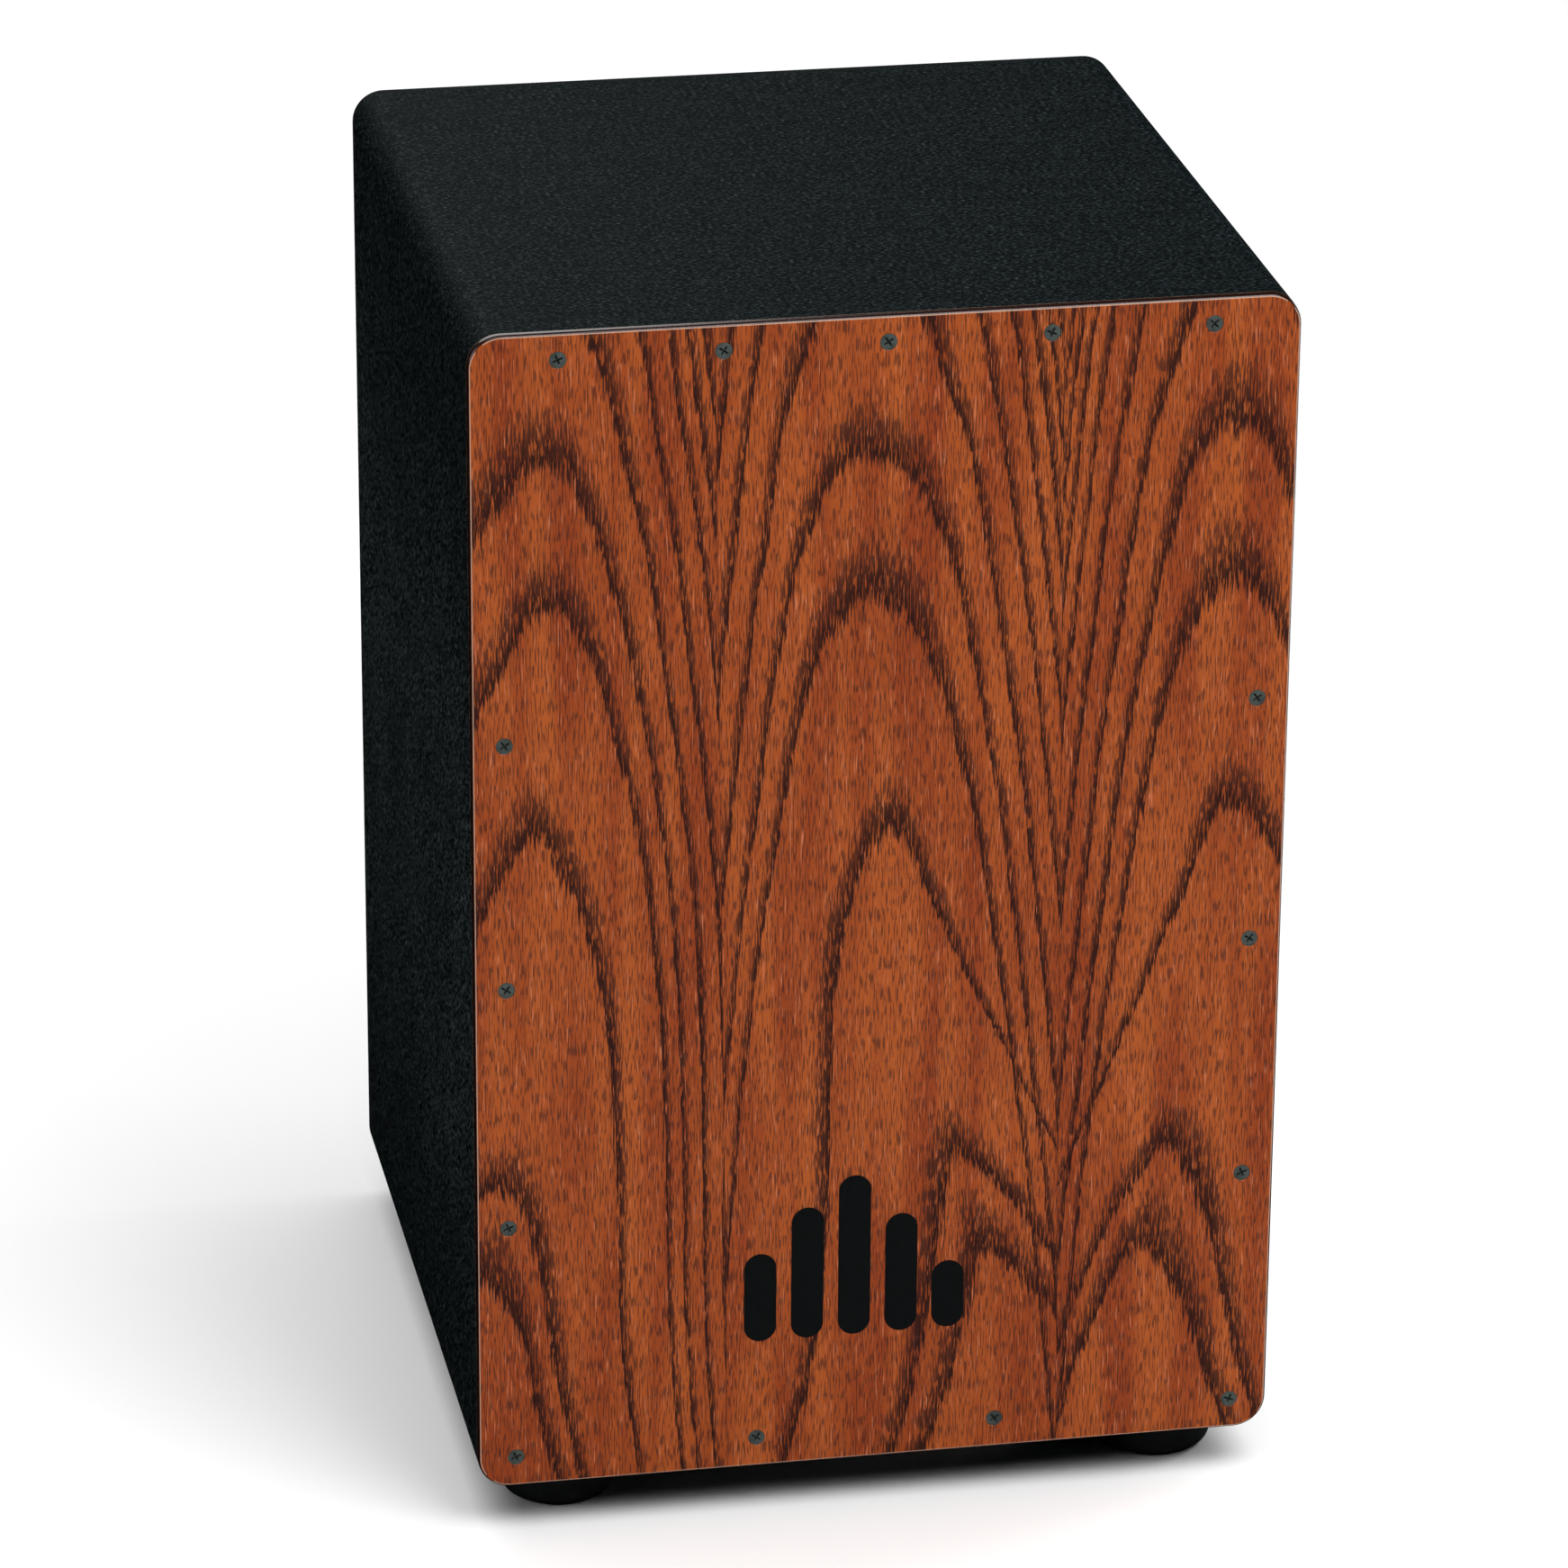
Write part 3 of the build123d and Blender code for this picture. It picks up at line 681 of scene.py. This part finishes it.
def solids_of(node):
    """Lowest and highest corner of each separate solid in a node, sorted from left to right."""
    bm = bmesh.new()
    bm.from_mesh(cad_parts[node].data)
    bmesh.ops.remove_doubles(bm, verts=bm.verts, dist=MERGE)
    waiting, corners = set(bm.verts), []
    while waiting:
        group, front = set(), [waiting.pop()]
        while front:
            vert = front.pop()
            group.add(vert)
            for edge in vert.link_edges:
                other = edge.other_vert(vert)
                if other in waiting:
                    waiting.discard(other)
                    front.append(other)
        low = Vector([min(vert.co[axis] for vert in group) for axis in range(3)])
        high = Vector([max(vert.co[axis] for vert in group) for axis in range(3)])
        corners.append((low, high))
    bm.free()
    return sorted(corners, key=lambda pair: (round(pair[0].x, 4), round(pair[0].z, 4), pair[0].y))


def facing(direction, forward="Z", up="X"):
    """A turn that points an object's forward axis in a direction."""
    return Vector(direction).to_track_quat(forward, up).to_matrix().to_4x4()


def lathe(bm, outline):
    """Turns a closed outline of (radius, height) points about the Z axis."""
    verts = [bm.verts.new((radius, 0, height)) for radius, height in outline]
    edges = [bm.edges.new(pair) for pair in zip(verts, verts[1:] + verts[:1])]
    bmesh.ops.spin(
        bm, geom=verts + edges, cent=(0, 0, 0), axis=(0, 0, 1), angle=math.tau,
        steps=LATHE_STEPS, use_merge=True)
    bmesh.ops.remove_doubles(bm, verts=bm.verts, dist=MERGE)


def round_ring(bm, radius, height, offset, segments):
    """Rounds the ring edge that lies at one radius and height of a turned body."""
    def on_ring(vert):
        return abs(vert.co.xy.length - radius) < MERGE and abs(vert.co.z - height) < MERGE

    edges = [edge for edge in bm.edges if all(on_ring(vert) for vert in edge.verts)]
    bmesh.ops.bevel(
        bm, geom=edges, offset=offset, offset_type="OFFSET", segments=segments, profile=0.5,
        affect="EDGES", material=-1)


def cross_recess(reach, half_arm):
    """Corners of a cross, anticlockwise."""
    quarter = [(reach, -half_arm), (reach, half_arm), (half_arm, half_arm)]
    corners = []
    for turn in range(4):
        spin = Matrix.Rotation(turn * math.pi / 2, 2)
        corners += [tuple(spin @ Vector(corner)) for corner in quarter]
    return corners


def hex_recess(across_flats):
    """Corners of a hexagon of that width across its flats."""
    radius = across_flats / math.sqrt(3)
    return [(radius * math.cos(k * math.pi / 3), radius * math.sin(k * math.pi / 3)) for k in range(6)]


def drawn_out(bm, edges, factor, move):
    """Extrudes a ring of edges, scales it about the Z axis and moves it; returns the new ring."""
    new = bmesh.ops.extrude_edge_only(bm, edges=edges)["geom"]
    verts = [item for item in new if isinstance(item, bmesh.types.BMVert)]
    bmesh.ops.scale(bm, vec=(factor, factor, 1), verts=verts)
    bmesh.ops.translate(bm, vec=(0, 0, move), verts=verts)
    fresh = set(verts)
    return [item for item in new if isinstance(item, bmesh.types.BMEdge) and set(item.verts) <= fresh]


def screw_body(bm, outline, recess, recess_depth, recess_taper):
    """A screw about the Z axis, its head upwards: a recess in the top, then an outline downwards."""
    radius, height = outline[0]
    circle = bmesh.ops.create_circle(bm, segments=LATHE_STEPS, radius=radius)["verts"]
    bmesh.ops.translate(bm, vec=(0, 0, height), verts=circle)
    rim = list({edge for vert in circle for edge in vert.link_edges})
    corners = [bm.verts.new((x, y, height)) for x, y in recess]
    slot = [bm.edges.new(pair) for pair in zip(corners, corners[1:] + corners[:1])]
    bmesh.ops.triangle_fill(bm, use_beauty=True, edges=rim + slot)
    floor = drawn_out(bm, slot, recess_taper, -recess_depth)
    bmesh.ops.edgeloop_fill(bm, edges=floor)
    for (before, start), (after, end) in zip(outline, outline[1:]):
        rim = drawn_out(bm, rim, after / before, end - start)
    bmesh.ops.edgeloop_fill(bm, edges=rim)


def thread_ridge(bm, crest, root, start, end, pitch, steps=14):
    """A helical ridge about the Z axis, from one height down to another."""
    flank = pitch * THREAD_FLANK
    section = [(root, start + flank), (crest, start), (root, start - flank)]
    verts = [bm.verts.new((radius, 0, height)) for radius, height in section]
    bm.faces.new(verts)
    edges = list(verts[0].link_edges) + [bm.edges.get((verts[1], verts[2]))]
    turns = (start - end) / pitch
    count = max(int(turns * steps), 1)
    last = bmesh.ops.spin(
        bm, geom=verts + edges, cent=(0, 0, 0), axis=(0, 0, 1), angle=turns * math.tau,
        dvec=(0, 0, (end - start) / count), steps=count, use_merge=False)["geom_last"]
    bm.faces.new([item for item in last if isinstance(item, bmesh.types.BMVert)])


def pointed_shank(shank, length):
    """The end of a wood screw's outline."""
    return [(shank, -length + 2 * shank), (shank * 0.1, -length)]


def pan_screw(crown, shank, recess, recess_depth, crest, pitch):
    """A maker of pan-head wood screws. crown goes down the head: share of its radius, and height."""
    thread_start = -0.0042

    def make_screw(bm, head, length):
        outline = [(head * share, height) for share, height in crown]
        outline += [(shank, crown[-1][1])] + pointed_shank(shank, length)
        screw_body(bm, outline, recess, recess_depth, RECESS_TAPER)
        thread_ridge(bm, crest, shank * THREAD_ROOT, thread_start, -length + 2 * shank, pitch)

    return make_screw


def screw_group(name, node, towards, make_screw, material):
    """Makes a screw in the place of each solid of a node. towards is where their heads point."""
    axis = max(range(3), key=lambda k: abs(towards[k]))
    group = bmesh.new()
    for index, (low, high) in enumerate(solids_of(node)):
        size = high - low
        top = (low + high) / 2
        top[axis] = high[axis] if towards[axis] > 0 else low[axis]
        bm = bmesh.new()
        make_screw(bm, size.x / 2, size[axis])

        # Each screw stops at its own angle, as if driven in by hand.
        stop = math.radians(45 + 11 * ((index * 3) % 5 - 2))
        place = Matrix.Translation(top) @ facing(towards) @ Matrix.Rotation(stop, 4, "Z")
        bmesh.ops.transform(bm, matrix=place, verts=bm.verts)
        scratch = bpy.data.meshes.new(name)
        bm.to_mesh(scratch)
        bm.free()
        group.from_mesh(scratch)
        bpy.data.meshes.remove(scratch)
    return finished(name, group, material, "box", replaced=(node,))


def foot_outline(radius, base, top, rings):
    """Half section of a foot: its side, the grip rings under it, its screw's well and its bore."""
    bore, well, well_depth, lip = 0.0022, 0.0074, 0.008, 0.0004
    groove, groove_half = top * 0.80, 0.0007
    ring_width, ring_slope, ring_depth = 0.0016, 0.0004, 0.0006
    outline = [
        (bore, top), (radius, top), (radius * 0.993, groove + groove_half),
        (radius * 0.970, groove), (radius * 0.988, groove - groove_half), (base, 0.0)]
    for ring in range(rings):
        edge = base * (0.76 - 0.12 * ring)
        outline += [
            (edge, 0.0), (edge - ring_slope, ring_depth),
            (edge - ring_width + ring_slope, ring_depth), (edge - ring_width, 0.0)]
    return outline + [(well + lip, 0.0), (well, 0.0005), (well, well_depth), (bore, well_depth)]


# ---------------------------------------------------------------- operators
class CAJON_OT_shell(bpy.types.Operator):
    """Finish the five black walls of the box"""

    bl_idname = "cajon.shell"
    bl_label = "Shell"

    def execute(self, context):
        around = black_shell("black_shell_crosswise", 0)
        upright = black_shell("black_shell_upright", 2)
        for node in ("top_panel", "bottom_panel"):
            dress(node, around)
        for node in ("left_side_panel", "right_side_panel", "back_panel"):
            dress(node, upright)
        return {"FINISHED"}


class CAJON_OT_front_plate(bpy.types.Operator):
    """Veneer the front plate"""

    bl_idname = "cajon.front_plate"
    bl_label = "Front plate"

    def execute(self, context):
        dress("front_plate", stained_ash())
        return {"FINISHED"}


class CAJON_OT_mark(bpy.types.Operator):
    """Print the plain mark on the front plate"""

    bl_idname = "cajon.mark"
    bl_label = "Mark"

    def execute(self, context):
        setup = context.scene.cajon_mark
        radius = setup.bar_width / 2
        half_step = Matrix.Rotation(math.pi / MARK_STEPS, 4, "Z")
        bm = bmesh.new()
        for index, share in enumerate(BAR_SHARES):
            from_middle = index - (len(BAR_SHARES) - 1) / 2
            place = Vector((
                setup.middle_x + from_middle * setup.bar_pitch, FACE_Y,
                setup.middle_z - setup.tallest / 2))
            upright = Matrix.Translation(place) @ Matrix.Rotation(math.pi / 2, 4, "X")
            disc = bmesh.ops.create_circle(
                bm, cap_ends=True, segments=MARK_STEPS, radius=radius,
                matrix=upright @ half_step)["verts"]
            upper = [vert for vert in disc if vert.co.z > place.z]
            lower = [vert for vert in disc if vert not in upper]
            bmesh.ops.translate(bm, vec=(0, 0, setup.tallest * share - radius), verts=upper)
            bmesh.ops.translate(bm, vec=(0, 0, radius), verts=lower)
        ink = bmesh.ops.extrude_face_region(bm, geom=bm.faces[:])["geom"]
        raised = [item for item in ink if isinstance(item, bmesh.types.BMVert)]
        bmesh.ops.translate(bm, vec=(0, -setup.thickness, 0), verts=raised)
        finished("printed_mark", bm, printed_ink(), "box")
        return {"FINISHED"}


class CAJON_OT_plate_screws(bpy.types.Operator):
    """Make the cross-recess screws that hold the front plate"""

    bl_idname = "cajon.plate_screws"
    bl_label = "Plate screws"

    def execute(self, context):
        setup = context.scene.cajon_hardware
        metal = plated_metal("gunmetal", setup.gunmetal, 0.42, wear=0.35, metallic=0.3)

        recess = cross_recess(setup.plate_recess, setup.plate_recess_arm)
        recess_depth, recess_taper = 0.0014, 0.52

        def make_screw(bm, head, length):
            sink, shank, crest = setup.plate_screw_sink, head * 0.34, head * 0.468
            taper = head - shank
            outline = [
                (head * 0.90, -sink), (head * 0.985, -sink - 0.00012), (head, -sink - 0.00030),
                (shank, -sink - taper)] + pointed_shank(shank, length)
            screw_body(bm, outline, recess, recess_depth, recess_taper)
            thread_ridge(
                bm, crest, shank * THREAD_ROOT, -length * 0.35, -length + 2 * shank,
                setup.thread_pitch)

        for side in ("top", "left", "right", "bottom"):
            screw_group(
                f"{side}_plate_screws", f"plate_screws_{side}", (0, -1, 0), make_screw, metal)
        return {"FINISHED"}


class CAJON_OT_battens(bpy.types.Operator):
    """Finish the bare wooden battens inside the box"""

    bl_idname = "cajon.battens"
    bl_label = "Battens"

    def execute(self, context):
        finishes = [bare_wood(f"bare_batten_{axis}", index) for index, axis in enumerate("xyz")]
        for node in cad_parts:
            if "_batten" in node:
                low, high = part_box(node)
                size = high - low
                dress(node, finishes[max(range(3), key=lambda axis: size[axis])])
        return {"FINISHED"}


class CAJON_OT_feet(bpy.types.Operator):
    """Mould the four rubber feet"""

    bl_idname = "cajon.feet"
    bl_label = "Feet"

    def execute(self, context):
        setup = context.scene.cajon_hardware
        rubber = moulded_rubber()
        for end in ("front", "rear"):
            for side in ("left", "right"):
                low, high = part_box(f"foot_{end}_{side}")
                radius, top = (high.x - low.x) / 2, high.z
                base = radius * 0.936
                bm = bmesh.new()
                lathe(bm, foot_outline(radius, base, top, setup.foot_rings))
                round_ring(bm, base, 0.0, 0.0042, 8)
                round_ring(bm, radius, top, 0.0008, 3)
                middle = ((low.x + high.x) / 2, (low.y + high.y) / 2, 0)
                bmesh.ops.translate(bm, vec=middle, verts=bm.verts)
                finished(
                    f"{end}_{side}_foot", bm, rubber, "box",
                    replaced=(f"foot_{end}_{side}",))
        return {"FINISHED"}


class CAJON_OT_foot_fixings(bpy.types.Operator):
    """Make the feet's screws and finish their washers"""

    bl_idname = "cajon.foot_fixings"
    bl_label = "Foot fixings"

    def execute(self, context):
        zinc = plated_metal("zinc_plate", context.scene.cajon_hardware.zinc, 0.3, wear=0.25)
        dress("foot_washers", zinc)

        crown = ((0.62, 0.0), (0.84, -0.0003), (0.96, -0.0009), (1.0, -0.0016), (1.0, -0.0028))
        make_screw = pan_screw(
            crown, shank=0.0014, recess=cross_recess(0.0021, 0.0005), recess_depth=0.0016,
            crest=0.002, pitch=0.0018)
        screw_group("foot_fixing_screws", "foot_screws", (0, 0, -1), make_screw, zinc)
        return {"FINISHED"}


class CAJON_OT_brackets(bpy.types.Operator):
    """Finish the tuner's and the anchor's brackets and make their screws"""

    bl_idname = "cajon.brackets"
    bl_label = "Brackets"

    def execute(self, context):
        setup = context.scene.cajon_hardware
        coat = powder_coat("bracket_coat", setup.coating)
        black = plated_metal("blackened_screw", setup.blackened, 0.36, wear=0.5)
        crown = ((0.58, 0.0), (0.82, -0.00025), (0.96, -0.0008), (1.0, -0.0013), (1.0, -0.002))
        make_screw = pan_screw(
            crown, shank=0.0011, recess=cross_recess(0.0016, 0.00038), recess_depth=0.0012,
            crest=0.0015, pitch=0.0014)
        for part in ("tuner", "anchor"):
            dress(f"{part}_bracket", coat)
            screw_group(
                f"{part}_fixing_screws", f"{part}_bracket_screws", (0, 1, 0), make_screw, black)
        return {"FINISHED"}


class CAJON_OT_tuners(bpy.types.Operator):
    """Make the tension screws and finish the bushes and the string carriages"""

    bl_idname = "cajon.tuners"
    bl_label = "Tuners"

    def execute(self, context):
        setup = context.scene.cajon_hardware
        brass = plated_metal("brass_fitting", setup.brass, 0.26, grain=(6.0, 0.4, 0.4), wear=0.3)
        black = plated_metal("tension_screw_steel", setup.tension_steel, 0.32, wear=0.4)
        bolt, socket, socket_depth, socket_taper = 0.0025, 0.004, 0.0026, 0.98
        core = bolt - 0.61 * setup.tuner_pitch
        head_edge, head_height, plain_end, point = 0.0004, 0.00462, 0.0230, 0.0008
        for side in ("left", "right"):
            dress(f"{side}_tension_bush", brass)
            dress(f"{side}_string_carriage", brass)
            low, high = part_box(f"{side}_tension_screw")
            head, length = (high.x - low.x) / 2, high.z - low.z
            outline = [
                (head - head_edge, 0.0), (head, -head_edge), (head, -head_height),
                (bolt, -head_height), (bolt, -plain_end), (core, -plain_end - 0.0004),
                (core, -length + point), (core - 0.0006, -length)]
            bm = bmesh.new()
            screw_body(bm, outline, hex_recess(socket), socket_depth, socket_taper)
            thread_ridge(
                bm, bolt, core - 0.0001, -plain_end - 0.0010, -length + point + 0.0001,
                setup.tuner_pitch, steps=16)
            middle = Matrix.Translation(((low.x + high.x) / 2, (low.y + high.y) / 2, low.z))
            bmesh.ops.transform(bm, matrix=middle @ facing((0, 0, -1)), verts=bm.verts)
            finished(
                f"{side}_tuning_screw", bm, black, f"{side}_screw",
                replaced=(f"{side}_tension_screw",))
        return {"FINISHED"}


class CAJON_OT_strings(bpy.types.Operator):
    """Make the four snare strings"""

    bl_idname = "cajon.strings"
    bl_label = "Snare strings"

    def execute(self, context):
        wire = wound_string()
        for side in ("left", "right"):
            for place in ("outer", "inner"):
                node = f"string_{side}_{place}"
                bm = bmesh.new()
                bm.from_mesh(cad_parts[node].data)
                piece = finished(
                    f"snare_string_{side}_{place}", bm, wire, None, replaced=(node,))
                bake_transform(piece)
        return {"FINISHED"}


def softbox(name, place, aim, size, power):
    """A rectangular area light that the camera doesn't see."""
    light = bpy.data.lights.new(name, "AREA")
    light.shape = "RECTANGLE"
    light.size, light.size_y = size
    light.energy = power
    lamp = bpy.data.objects.new(name, light)
    lamp.matrix_world = Matrix.Translation(place) @ facing(Vector(aim) - Vector(place), "-Z", "Y")
    lamp.visible_camera = False
    bpy.context.scene.collection.objects.link(lamp)


class CAJON_OT_stage(bpy.types.Operator):
    """Set up the pale floor, the soft lights and the camera"""

    bl_idname = "cajon.stage"
    bl_label = "Stage"

    def execute(self, context):
        setup = context.scene.cajon_studio
        bm = bmesh.new()
        bmesh.ops.create_grid(bm, x_segments=8, y_segments=8, size=FLOOR_REACH)
        floor = finished("floor", bm, seamless_floor(), None, closed=False)
        floor.visible_glossy = False

        # Only the camera sees the white backdrop; it doesn't light the box.
        world = bpy.data.worlds.new("studio")
        world.use_nodes = True
        nodes, links = world.node_tree.nodes, world.node_tree.links
        seen = nodes.new("ShaderNodeLightPath").outputs["Is Camera Ray"]
        links.new(seen, nodes["Background"].inputs["Strength"])
        nodes["Background"].inputs["Color"].default_value = (1.0, 1.0, 1.0, 1.0)
        context.scene.world = world
        context.scene.view_settings.view_transform = "Standard"

        middle = (Vector(CAD_BOX[0]) + Vector(CAD_BOX[1])) / 2
        # Each light's place, the point that it faces, and its size, in metres.
        softbox("key", (0.65, -1.15, 1.75), middle + Vector((0, 0, 0.2)), (1.1, 1.1), setup.key_power)
        softbox("overhead", (-0.42, -0.55, 2.1), middle, (1.15, 1.1), setup.top_power)
        softbox("rim", (0.62, 0.10, 0.26), (0.0, -0.05, 0.26), (0.22, 0.60), setup.rim_power)
        softbox("side", (-2.0, -0.5, 1.1), middle, (1.2, 1.2), setup.side_power)
        softbox("back", (-0.28, 2.2, 1.6), middle, (1.4, 1.2), setup.back_power)
        sky = bpy.data.lights.new("sky", "SUN")
        sky.energy, sky.angle = setup.sky_strength, math.radians(80)
        lamp = bpy.data.objects.new("sky", sky)
        lamp.visible_glossy = False
        context.scene.collection.objects.link(lamp)

        towards = Vector((
            math.sin(setup.azimuth) * math.cos(setup.elevation),
            -math.cos(setup.azimuth) * math.cos(setup.elevation),
            math.sin(setup.elevation)))
        level = Vector((math.cos(setup.azimuth), math.sin(setup.azimuth), 0.0))
        right = Matrix.Rotation(setup.roll, 3, towards) @ level
        up = towards.cross(right)
        place = middle + towards * setup.distance + right * setup.slide_x + up * setup.slide_y
        camera = bpy.data.objects.new("camera", bpy.data.cameras.new("camera"))
        camera.data.lens = setup.lens
        camera.data.clip_end = 100.0
        turn = Matrix((right, up, towards)).transposed().to_4x4()
        camera.matrix_world = Matrix.Translation(place) @ turn
        context.scene.collection.objects.link(camera)
        context.scene.camera = camera
        return {"FINISHED"}


OPERATORS = (
    CAJON_OT_shell,
    CAJON_OT_front_plate,
    CAJON_OT_mark,
    CAJON_OT_plate_screws,
    CAJON_OT_battens,
    CAJON_OT_feet,
    CAJON_OT_foot_fixings,
    CAJON_OT_brackets,
    CAJON_OT_tuners,
    CAJON_OT_strings,
    CAJON_OT_stage,
)

GROUPS = {
    "cajon_veneer": CajonVeneer,
    "cajon_shell": CajonShell,
    "cajon_mark": CajonMark,
    "cajon_hardware": CajonHardware,
    "cajon_studio": CajonStudio,
}


class CAJON_PT_panel(bpy.types.Panel):
    """Lists the cajon's pieces and their settings"""

    bl_idname = "CAJON_PT_panel"
    bl_label = "Cajon"
    bl_space_type = "VIEW_3D"
    bl_region_type = "UI"
    bl_category = "Cajon"

    def draw(self, context):
        for operator in OPERATORS:
            self.layout.operator(operator.bl_idname)
        for name, group in GROUPS.items():
            box = self.layout.box()
            for setting in group.__annotations__:
                box.prop(getattr(context.scene, name), setting)


def register():
    for group in GROUPS.values():
        bpy.utils.register_class(group)
    for name, group in GROUPS.items():
        setattr(bpy.types.Scene, name, PointerProperty(type=group))
    for operator in OPERATORS:
        bpy.utils.register_class(operator)
    bpy.utils.register_class(CAJON_PT_panel)


def unregister():
    bpy.utils.unregister_class(CAJON_PT_panel)
    for operator in reversed(OPERATORS):
        bpy.utils.unregister_class(operator)
    for name in GROUPS:
        delattr(bpy.types.Scene, name)
    for group in reversed(list(GROUPS.values())):
        bpy.utils.unregister_class(group)


def main():
    register()
    for operator in OPERATORS:
        category, name = operator.bl_idname.split(".")
        getattr(getattr(bpy.ops, category), name)()


if __name__ == "__main__":
    main()
